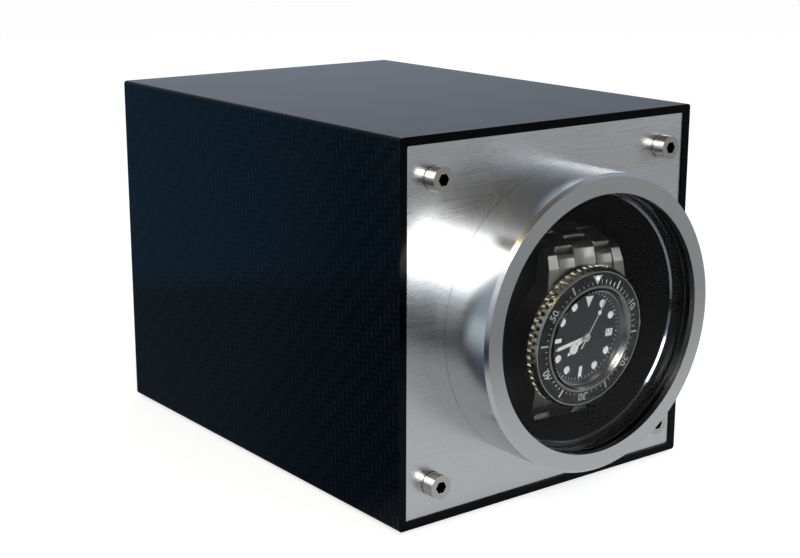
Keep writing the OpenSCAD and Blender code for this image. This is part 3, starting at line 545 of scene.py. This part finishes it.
# ---- Rear panel and its controls ---------------------------------------
# A moulded panel with a fine grain, a battery lid with a finger notch, a
# button, a slider, a status lens and the inlet for a plug.
dress(moulded("panel_black", (0.014, 0.014, 0.015), (0.026, 0.026, 0.028), (0.45, 0.62), 1.1, 0.05),
      "rear_panel", "battery_door")
dress(moulded("control_black", (0.022, 0.022, 0.024), (0.038, 0.038, 0.041), (0.3, 0.42), 1.8, 0.02),
      "power_button", "direction_switch", "power_socket")
lens, flow = material("status_lens_green")
at = millimetres(flow)
finish(flow, {
    "Base Color": grain(flow, at, 0.8).mix((0.12, 0.42, 0.20), (0.22, 0.58, 0.30)),
    "Roughness": 0.14 + grain(flow, at, 1.0) * 0.06,
    "Transmission Weight": 0.35,
})
dress(lens, "status_lens")

# ---- Watch --------------------------------------------------------------
# A steel diver's watch: satin case and bracelet, a notched bezel with a
# black insert, and a black dial with pale plots under a thick crystal.
# It lies off the drum's axis, leans back and is turned a little at rest.
watch_depth = 6
watch_shift = 1.8
watch_drop = 5.5
watch_tilt = 5
rest_turn = 2.5
on_watch = (Matrix.Scale(0.001, 4) @ Matrix.Translation((0, 0, axis_z))
            @ Matrix.Rotation(math.radians(rest_turn), 4, "Y")
            @ Matrix.Translation((watch_shift, 1000 * cad_low[1] + watch_depth, -watch_drop))
            @ Matrix.Rotation(math.radians(90 + watch_tilt), 4, "X"))
# Radii round the watch's axis, heights from the crystal's top, and the hands' angles
case_r = 19.3
bezel_r = case_r + 0.7
bezel_top = -1
insert_out_r = bezel_r - 1.3
insert_in_r = insert_out_r - 3.5
dial_z = -5.2
dial_open_r = insert_in_r - 2.5
hour_disc = dial_open_r - 7.9
plot_ring = dial_open_r - 2.4
date_x = dial_open_r - 3.3
lug_reach = 23.4
lug_z = -8.2
crown_z = -8
hour_angle = 231.5
minute_angle = 258
second_angle = 28

crystal, flow = material("crystal")
at = millimetres(flow)
finish(flow, {
    "Base Color": (0.98, 0.99, 0.99),
    "Roughness": grain(flow, at, 0.1).between(0.3, 0.8, 0.0, 0.008),
    "Transmission Weight": 1.0,
    "IOR": 1.77,
    "Specular Tint": (0.08, 0.08, 0.08),
})
dress(crystal, "crystal")

watch_steel = brushed("watch_steel", (0.31, 0.295, 0.26), 0.36, (0.5, 5.0, 5.0), 0.22)
dress(watch_steel, "watch_case", "case_back", "clasp", "crown_stem")
dress(brushed("bezel_steel", (0.44, 0.415, 0.36), 0.24, (3.0, 3.0, 3.0), 0.15), "bezel")
dress(brushed("rehaut_steel", (0.42, 0.42, 0.42), 0.30, (2.0, 2.0, 2.0)), "rehaut")
dress(brushed("movement_plate", (0.62, 0.55, 0.40), 0.32, (2.0, 2.0, 2.0)), "movement")


def painted(name, low, high, rough, spread, gloss):
    """A smooth dark paint: its roughness rises from rough by up to spread."""
    made, flow = material(name)
    at = millimetres(flow)
    finish(flow, {
        "Base Color": grain(flow, at, 0.6).mix(low, high),
        "Roughness": rough + grain(flow, at, 3.0) * spread,
        "Specular IOR Level": gloss,
    })
    return made


dress(painted("dial_paint", (0.006, 0.007, 0.009), (0.010, 0.012, 0.015), 0.36, 0.12, 0.25), "dial")
insert_paint = painted("insert_paint", (0.008, 0.009, 0.010), (0.014, 0.015, 0.017), 0.22, 0.10, 0.3)
dress(insert_paint, "bezel_insert")

# The lume's emission is painted light: a glow that lifts the pale paint inside the dark drum
lume, flow = material("lume")
at = millimetres(flow)
finish(flow, {
    "Base Color": grain(flow, at, 1.5).mix((0.78, 0.80, 0.78), (0.90, 0.91, 0.88)),
    "Roughness": 0.5 + grain(flow, at, 4.0) * 0.15,
    "Emission Color": (0.88, 0.92, 0.90),
    "Emission Strength": 0.35,
})
dress(lume, "hour_markers")
hand_steel = brushed("hand_steel", (0.80, 0.80, 0.79), 0.18, (3.0, 3.0, 3.0), 0.1)
dress(hand_steel, "hour_hand", "minute_hand", "second_hand")


def hand_over(piece, name, body, made):
    """A piece drawn in millimetres round the watch takes its place, body and finish."""
    piece.name = piece.data.name = name
    bpy.ops.object.select_all(action="DESELECT")
    piece.select_set(True)
    bpy.context.view_layer.objects.active = piece
    bpy.ops.object.transform_apply(location=True, rotation=True, scale=True)
    piece.data.transform(on_watch)
    piece.data.materials.clear()
    piece.data.materials.append(made)
    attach(piece, body)
    return piece


def joined(pieces):
    """The pieces become one object."""
    bpy.ops.object.select_all(action="DESELECT")
    for piece in pieces:
        piece.select_set(True)
    bpy.context.view_layer.objects.active = pieces[0]
    bpy.ops.object.join()
    return bpy.context.object


def bar(size, bevel, segments=2):
    """A block with rounded edges, round the origin."""
    bpy.ops.object.select_all(action="DESELECT")
    bpy.ops.mesh.primitive_cube_add(size=1)
    made = bpy.context.object
    made.scale = size
    bpy.ops.object.transform_apply(scale=True)
    bpy.ops.object.mode_set(mode="EDIT")
    bpy.ops.mesh.select_all(action="SELECT")
    bpy.ops.mesh.bevel(offset=bevel, segments=segments, affect="EDGES")
    bpy.ops.object.mode_set(mode="OBJECT")
    bpy.ops.object.shade_smooth_by_angle(angle=math.radians(35))
    return made


def copied(piece, matrix):
    """A copy with a mesh of its own, moved by the matrix."""
    twin = piece.copy()
    twin.data = piece.data.copy()
    twin.data.transform(matrix)
    bpy.context.scene.collection.objects.link(twin)
    return twin


# ---- Watch: bracelet ----------------------------------------------------
# Solid links in three rows, the middle one staggered by half a link, from
# the end links between the lugs to the folding clasp behind the cushion.
half_headings = [18, -4, -24, -45, -68, -90]
turns = half_headings + [-90] + [-180 - turn for turn in reversed(half_headings)]
strap_w = 20
strap_taper = 4
link_t = 2.9
inner_t = 2.7
link_bevel = 0.42
link_gap = 0.3
row_gap = 0.1
outer_share = 0.30
inner_share = 0.40
pin_r = 0.6
pin_short = 2.5
clasp_spans = (5, 6, 7)
pitch = 2 * lug_reach / -sum(math.sin(math.radians(turn)) for turn in turns)
joints = [Vector((-lug_z, lug_reach))]
for turn in turns:
    heading = Vector((math.cos(math.radians(turn)), math.sin(math.radians(turn))))
    joints.append(joints[-1] + pitch * heading)
middle_link = (len(turns) - 1) / 2
widths = [strap_w - strap_taper * (1 - abs(i / middle_link - 1)) for i in range(len(turns))]


def laid(depth, level, turn, x):
    """Where a link lies: its length follows the bracelet and its top faces out."""
    return (Matrix.Translation((x, level, -depth))
            @ Matrix.Rotation(math.radians(turn - 90), 4, "X"))


links = []
for i, turn in enumerate(turns):
    if i in clasp_spans:
        continue
    middle = (joints[i] + joints[i + 1]) / 2
    outer = widths[i] * outer_share
    block = bar((outer, pitch - link_gap, link_t), link_bevel, 3)
    for x in (-1, 1):
        links.append(copied(block, laid(middle.x, middle.y, turn, x * (widths[i] / 2 - outer / 2))))
    bpy.data.objects.remove(block)
for i in (1, 2, 3, 4, 9, 10, 11, 12):
    turn = (turns[i - 1] + turns[i]) / 2
    width = (widths[i - 1] + widths[i]) / 2 * inner_share - row_gap
    block = bar((width, pitch - link_gap, inner_t), link_bevel, 3)
    links.append(copied(block, laid(joints[i].x, joints[i].y, turn, 0)))
    bpy.data.objects.remove(block)
# Half links where the clasp begins
half_link = pitch / 2 - 0.25
for i, along in ((4, 0.75), (8, 0.25)):
    place = joints[i].lerp(joints[i + 1], along)
    width = widths[i] * inner_share - row_gap
    block = bar((width, half_link, inner_t), link_bevel, 3)
    links.append(copied(block, laid(place.x, place.y, turns[i], 0)))
    bpy.data.objects.remove(block)

# Pins through the joints
for i in (1, 2, 3, 4, 5, 8, 9, 10, 11, 12):
    bpy.ops.object.select_all(action="DESELECT")
    bpy.ops.mesh.primitive_cylinder_add(vertices=24, radius=pin_r,
                                        depth=widths[i - 1] - pin_short,
                                        rotation=(0, math.pi / 2, 0))
    bpy.ops.object.transform_apply(rotation=True)
    pin = bpy.context.object
    bpy.ops.object.mode_set(mode="EDIT")
    bpy.ops.mesh.select_all(action="SELECT")
    bpy.ops.mesh.bevel(offset=0.1, segments=1, affect="EDGES")
    bpy.ops.object.mode_set(mode="OBJECT")
    pin.data.transform(Matrix.Translation((0, joints[i].y, -joints[i].x)))
    links.append(pin)

# The end links: an outline from the side is extruded across, and the case is cut out of it.
# The middle strip runs on as a tongue between the first link's outer pieces. Each corner of
# an outline is a depth below the crystal's top and a distance up from the watch's middle.
tongue = strap_w * 0.2
end_slack = 0.13
case_gap = 0.12
cheek_side = ((4.9, 15.0), (5.7, 19.4), (6.5, 21.6), (7.3, 22.6), (9.4, 22.6), (9.6, 15.0))
tongue_side = ((5.1, 15.0), (5.9, 19.4), (6.5, 21.4), (7.6, 23.9), (9.2, 25.2), (11.0, 25.85),
               (11.9, 23.2), (9.6, 15.0))
strips = ((end_slack - strap_w / 2, -tongue, cheek_side),
          (row_gap - tongue, tongue - row_gap, tongue_side),
          (tongue, strap_w / 2 - end_slack, cheek_side))
for low, high, corners in strips:
    bpy.ops.object.select_all(action="DESELECT")
    bpy.ops.mesh.primitive_circle_add(vertices=len(corners), fill_type="NGON")
    outline = bpy.context.object
    for vertex, (depth, level) in zip(outline.data.vertices, corners):
        vertex.co = (low, level, -depth)
    bpy.ops.object.mode_set(mode="EDIT")
    bpy.ops.mesh.select_all(action="SELECT")
    bpy.ops.mesh.extrude_region_move(TRANSFORM_OT_translate={"value": (high - low, 0, 0)})
    bpy.ops.mesh.select_all(action="SELECT")
    bpy.ops.mesh.bevel(offset=0.22, segments=2, affect="EDGES")
    bpy.ops.mesh.normals_make_consistent(inside=False)
    bpy.ops.object.mode_set(mode="OBJECT")
    bpy.ops.mesh.primitive_cylinder_add(vertices=96, radius=case_r + case_gap, depth=30)
    cutter = bpy.context.object
    bpy.ops.object.select_all(action="DESELECT")
    outline.select_set(True)
    bpy.context.view_layer.objects.active = outline
    bpy.ops.object.modifier_add(type="BOOLEAN")
    outline.modifiers[0].object = cutter
    bpy.ops.object.modifier_apply(modifier=outline.modifiers[0].name)
    bpy.data.objects.remove(cutter)
    bpy.ops.object.shade_smooth_by_angle(angle=math.radians(35))
    links.append(outline)
    links.append(copied(outline, Matrix.Rotation(math.pi, 4, "Z")))
bracelet = hand_over(joined(links), "bracelet_links", "drum",
                     brushed("link_satin", (0.29, 0.275, 0.24), 0.38, (7.0, 0.5, 0.5), 0.25))
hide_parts("bracelet")

# ---- Watch: crown -------------------------------------------------------
# A screw-down crown, turned from bar: its ends are stepped in and dished,
# and its edge is fluted.
crown_r = 3.45
crown_w = 3.0
crown_x = case_r + 2.35
end_step = 0.5
flutes = 36
flute_depth = 0.22
bpy.ops.object.select_all(action="DESELECT")
bpy.ops.mesh.primitive_cylinder_add(vertices=2 * flutes, radius=crown_r, depth=crown_w,
                                    rotation=(0, math.pi / 2, 0),
                                    location=(crown_x, 0, crown_z))
crown = bpy.context.object
bpy.ops.object.transform_apply(location=True, rotation=True)
bpy.ops.object.mode_set(mode="EDIT")
bpy.ops.mesh.select_mode(type="FACE")
bpy.ops.mesh.select_all(action="DESELECT")
bpy.ops.object.mode_set(mode="OBJECT")
for face in crown.data.polygons:
    face.select = abs(face.normal.x) > 0.9
bpy.ops.object.mode_set(mode="EDIT")
bpy.ops.mesh.extrude_region_shrink_fatten(TRANSFORM_OT_shrink_fatten={"value": end_step})
bpy.ops.transform.resize(value=(1, 0.86, 0.86), center_override=(0, 0, crown_z))
bpy.ops.mesh.inset(thickness=0.8, depth=-0.15)
bpy.ops.mesh.select_all(action="DESELECT")
bpy.ops.object.mode_set(mode="OBJECT")
for face in crown.data.polygons:
    around = math.atan2(face.center.y, face.center.z - crown_z)
    face.select = abs(face.normal.x) < 0.1 and round(around / (math.pi / flutes) - 0.5) % 2 == 0
bpy.ops.object.mode_set(mode="EDIT")
bpy.ops.mesh.inset(thickness=0.04, depth=-flute_depth, use_individual=True)
bpy.ops.object.mode_set(mode="OBJECT")
bpy.ops.object.shade_smooth_by_angle(angle=math.radians(30))
crown = hand_over(crown, "fluted_crown", "winding_crown", watch_steel)
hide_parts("crown")

# ---- Watch: marks on the bezel's insert --------------------------------
# Numbers every ten minutes, bars and ticks between, and a triangle with a
# pip at the top, in pale metal sunk into the insert's slope. The first
# quarter's ticks are longer.


def stud(radius, height, dip, place):
    """A turned button with a rounded edge and a shallow dish in its top."""
    bpy.ops.object.select_all(action="DESELECT")
    bpy.ops.mesh.primitive_cylinder_add(vertices=40, radius=radius, depth=height, location=place)
    made = bpy.context.object
    bpy.ops.object.mode_set(mode="EDIT")
    bpy.ops.mesh.select_all(action="SELECT")
    bpy.ops.mesh.bevel(offset=min(radius, height) * 0.12, segments=2, affect="EDGES")
    bpy.ops.mesh.select_all(action="DESELECT")
    bpy.ops.object.mode_set(mode="OBJECT")
    for face in made.data.polygons:
        face.select = face.normal.z > 0.99 and face.area > radius * radius
    bpy.ops.object.mode_set(mode="EDIT")
    bpy.ops.mesh.inset(thickness=radius * 0.16, depth=-dip)
    bpy.ops.object.mode_set(mode="OBJECT")
    bpy.ops.object.shade_smooth_by_angle(angle=math.radians(35))
    return made


# Where the marks are centred, and their sizes
mark_mid = (insert_in_r + insert_out_r) / 2 - 0.4
mark_t = 0.06
mark_bevel = 0.02
number_size = 3.1
number_grow = 0.035
bar_w = 0.5
bar_long = 2.4
tick_w = 0.18
long_tick = 1.3
short_tick = 0.7
long_until = 15
pointer_r = 2.0
marks = []
for minute in range(60):
    angle = math.radians(-6 * minute)
    if minute % 10 == 0 and minute:
        bpy.ops.object.select_all(action="DESELECT")
        bpy.ops.object.text_add()
        number = bpy.context.object
        number.data.body = str(minute)
        number.data.size = number_size
        number.data.extrude = mark_t / 2
        number.data.offset = number_grow
        number.data.resolution_u = 4
        number.data.align_x = "CENTER"
        number.data.align_y = "CENTER"
        bpy.ops.object.convert(target="MESH")
        mark = bpy.context.object
        centre = mark_mid
    elif minute % 5 == 0 and minute:
        mark = bar((bar_w, bar_long, mark_t), mark_bevel, 1)
        centre = mark_mid + 0.1
    elif minute:
        long = long_tick if minute < long_until else short_tick
        mark = bar((tick_w, long, mark_t), mark_bevel, 1)
        centre = insert_in_r + 0.3 + long / 2
    else:
        bpy.ops.object.select_all(action="DESELECT")
        bpy.ops.mesh.primitive_cylinder_add(vertices=3, radius=pointer_r, depth=mark_t,
                                            rotation=(0, 0, math.pi))
        mark = bpy.context.object
        mark.scale = (1.02, 0.84, 1)
        centre = mark_mid + 0.55
    bpy.ops.object.select_all(action="DESELECT")
    mark.select_set(True)
    bpy.context.view_layer.objects.active = mark
    bpy.ops.object.transform_apply(location=True, rotation=True, scale=True)
    mark.data.transform(Matrix.Rotation(angle, 4, "Z") @ Matrix.Translation((0, centre, 0)))
    marks.append(mark)
# All of them follow the insert's slope
numbers = joined(marks)
insert_rise = 0.3
slope = insert_rise / (insert_out_r - insert_in_r)
inner_edge_z = bezel_top + 0.255
for vertex in numbers.data.vertices:
    out = math.hypot(vertex.co.x, vertex.co.y)
    vertex.co.z += inner_edge_z - (out - insert_in_r) * slope
hand_over(numbers, "insert_marks", "watch_bezel",
          brushed("mark_metal", (0.70, 0.70, 0.68), 0.35, (3.0, 3.0, 3.0), 0.1))

dot_r = 0.62
pip = stud(dot_r, 0.5, 0.04, (0, mark_mid + 0.65, bezel_top + 0.03))
hand_over(pip, "bezel_pip", "watch_bezel", lume)

# ---- Watch: dial work ---------------------------------------------------
# Polished frames round the plots, a printed minute track, a framed date and
# pale strips let into the hands.
plot_r = 1.17
rail_w = 0.16
rail_t = 0.36
rail_bevel = 0.05
rail_z = dial_z + 0.2
baton = plot_ring - 0.2
baton_w = 1.3
baton_long = 3.2
date_high = 2.3
date_wide = 2.7
date_rail = 0.14
frames = []
ring = stud(plot_r, 0.38, 0.12, (0, 0, 0))
for hour in (1, 2, 4, 5, 7, 8, 10, 11):
    frames.append(copied(ring, Matrix.Rotation(math.radians(-30 * hour), 4, "Z")
                         @ Matrix.Translation((0, plot_ring, dial_z + 0.19))))
bpy.data.objects.remove(ring)
# The batons' frames: two rails along and two across
for hour in (6, 9):
    turned_to = Matrix.Rotation(math.radians(-30 * hour), 4, "Z")
    for way in (-1, 1):
        for x, y, size in ((way * 0.62, baton, (rail_w, baton_long, rail_t)),
                           (0, baton + way * 1.54, (baton_w, rail_w, rail_t))):
            strip = bar(size, rail_bevel)
            strip.data.transform(turned_to @ Matrix.Translation((x, y, rail_z)))
            frames.append(strip)
# The triangle's frame
wide = plot_ring + 1.22
corners = [Vector((-1.5, wide)), Vector((1.5, wide)), Vector((0, plot_ring - 1.98))]
for i in range(3):
    start, end = corners[i - 1], corners[i]
    run = end - start
    strip = bar((run.length + 0.1, rail_w, rail_t), rail_bevel)
    middle = (start + end) / 2
    strip.data.transform(Matrix.Translation((middle.x, middle.y, rail_z))
                         @ Matrix.Rotation(math.atan2(run.y, run.x), 4, "Z"))
    frames.append(strip)
# The date's frame
for way in (-1, 1):
    for x, y, size in ((0, way * 1.1, (date_wide, date_rail, 0.2)),
                       (way * 1.3, 0, (date_rail, date_high, 0.2))):
        strip = bar(size, 0.04)
        strip.data.transform(Matrix.Translation((date_x + x, y, dial_z + 0.08)))
        frames.append(strip)
hand_over(joined(frames), "plot_frames", "drum", hand_steel)

# The minute track's ticks, and the date's number
print_t = 0.03
print_long = 0.55
print_r = dial_open_r - 0.45
track = []
for minute in range(60):
    strip = bar((0.22 if minute % 5 == 0 else 0.12, print_long, print_t), 0.01, 1)
    strip.data.transform(Matrix.Rotation(math.radians(-6 * minute), 4, "Z")
                         @ Matrix.Translation((0, print_r, dial_z + print_t / 2)))
    track.append(strip)
hand_over(joined(track), "minute_track", "drum", lume)

bpy.ops.object.select_all(action="DESELECT")
bpy.ops.object.text_add(location=(date_x, 0, dial_z + print_t))
date = bpy.context.object
date.data.body = "17"
date.data.size = 1.9
date.data.extrude = 0.01
date.data.align_x = "CENTER"
date.data.align_y = "CENTER"
bpy.ops.object.convert(target="MESH")
hand_over(bpy.context.object, "date_number", "drum", insert_paint)

# The pale strips in the hands
hour_top = dial_z + 0.65
minute_top = dial_z + 1.05
inlay_t = 0.05
inlay_bevel = 0.02
strip = bar((0.8, 1.6, inlay_t), inlay_bevel, 1)
strip.data.transform(Matrix.Translation((0, hour_disc - 2.5, hour_top)))
tip = bar((0.6, 0.9, inlay_t), inlay_bevel, 1)
tip.data.transform(Matrix.Translation((0, hour_disc + 2.1, hour_top)))
inlay = joined([strip, tip, stud(1.35, 0.06, 0.01, (0, hour_disc, hour_top))])
bpy.ops.object.transform_apply(location=True)
inlay.data.transform(Matrix.Rotation(math.radians(-hour_angle), 4, "Z"))
hand_over(inlay, "hour_lume", "hour", lume)

strip = bar((0.7, 8.0, inlay_t), inlay_bevel, 1)
strip.data.transform(Matrix.Rotation(math.radians(-minute_angle), 4, "Z")
                     @ Matrix.Translation((0, 6.2, minute_top)))
hand_over(strip, "minute_lume", "minute", lume)

around = math.radians(second_angle)
dot_out = 7.6
dot_at = (math.sin(around) * dot_out, math.cos(around) * dot_out, dial_z + 1.36)
dot = stud(dot_r, 0.14, 0.02, dot_at)
hand_over(dot, "second_dot", "second", lume)

# ---- Cushion ------------------------------------------------------------
# A soft pad in black leather, sewn from two sides and a long strip. Its
# skin is let out by a short cloth run with pressure inside.
cushion_skin, flow = material("cushion_skin")
at = millimetres(flow)
pores = flow.node("TexVoronoi", {}, {"Vector": at, "Scale": 1.1})
finish(flow, {
    "Base Color": grain(flow, at, 0.12, 4.0).mix((0.004, 0.004, 0.005), (0.010, 0.010, 0.011)),
    "Roughness": 0.42 + grain(flow, at, 0.7) * 0.16,
    "Normal": relief(flow, pores, 0.10, 0.4),
    "Specular IOR Level": 0.2,
})

bpy.ops.object.select_all(action="DESELECT")
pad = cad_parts["cushion"].copy()
pad.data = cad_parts["cushion"].data.copy()
bpy.context.scene.collection.objects.link(pad)
pad.parent = None
pad.hide_render = False
pad.select_set(True)
bpy.context.view_layer.objects.active = pad
for key in list(pad.keys()):
    del pad[key]
bpy.ops.object.mode_set(mode="EDIT")
bpy.ops.mesh.select_all(action="SELECT")
bpy.ops.mesh.remove_doubles(threshold=0.00002)
bpy.ops.mesh.normals_make_consistent(inside=False)
bpy.ops.object.mode_set(mode="OBJECT")
low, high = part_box("cushion")
centre = (Vector(low) + Vector(high)) / 2
half_size = (Vector(high) - Vector(low)) / 2
# The cover is cut a little small, and its filling swells it
cut_small = Matrix.Diagonal((0.965, 0.94, 0.955, 1))
seam_at = 0.86
pressure = 3.0
grid = 0.0011
most_swell = 0.0011
skin_gap = 0.0001
seam_w = 0.0006
cloth_steps = 12
pad.data.transform(Matrix.Translation(centre) @ cut_small @ Matrix.Translation(-centre))
pad.data.remesh_voxel_size = grid
pad.data.remesh_voxel_adaptivity = 0
bpy.ops.object.voxel_remesh()
start = [vertex.co.copy() for vertex in pad.data.vertices]
bpy.ops.object.modifier_add(type="CLOTH")
cloth = pad.modifiers[0]
cloth.settings.use_pressure = True
cloth.settings.uniform_pressure_force = pressure
cloth.settings.effector_weights.gravity = 0
cloth.settings.quality = 5
for step in range(1, cloth_steps + 1):
    bpy.context.scene.frame_set(step)
bpy.ops.object.modifier_apply(modifier=cloth.name)
bpy.context.scene.frame_set(1)
for vertex, before in zip(pad.data.vertices, start):
    moved = vertex.co - before
    if moved.length > most_swell:
        vertex.co = before + moved.normalized() * most_swell
    inside = [min(max(vertex.co[i], low[i] + skin_gap), high[i] - skin_gap) for i in range(3)]
    # The skin pulls in along the two seams that join the sides to the strip
    seam = abs(abs(inside[0] - centre.x) - half_size.x * seam_at)
    pull = seam_w * math.exp(-(seam / seam_w) ** 2)
    toward = (centre - Vector(inside)).normalized()
    vertex.co = Vector(inside) + toward * pull
bpy.ops.object.shade_smooth()
pad.name = pad.data.name = "cushion_pad"
pad.data.materials.clear()
pad.data.materials.append(cushion_skin)
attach(pad, "drum")
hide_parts("cushion")
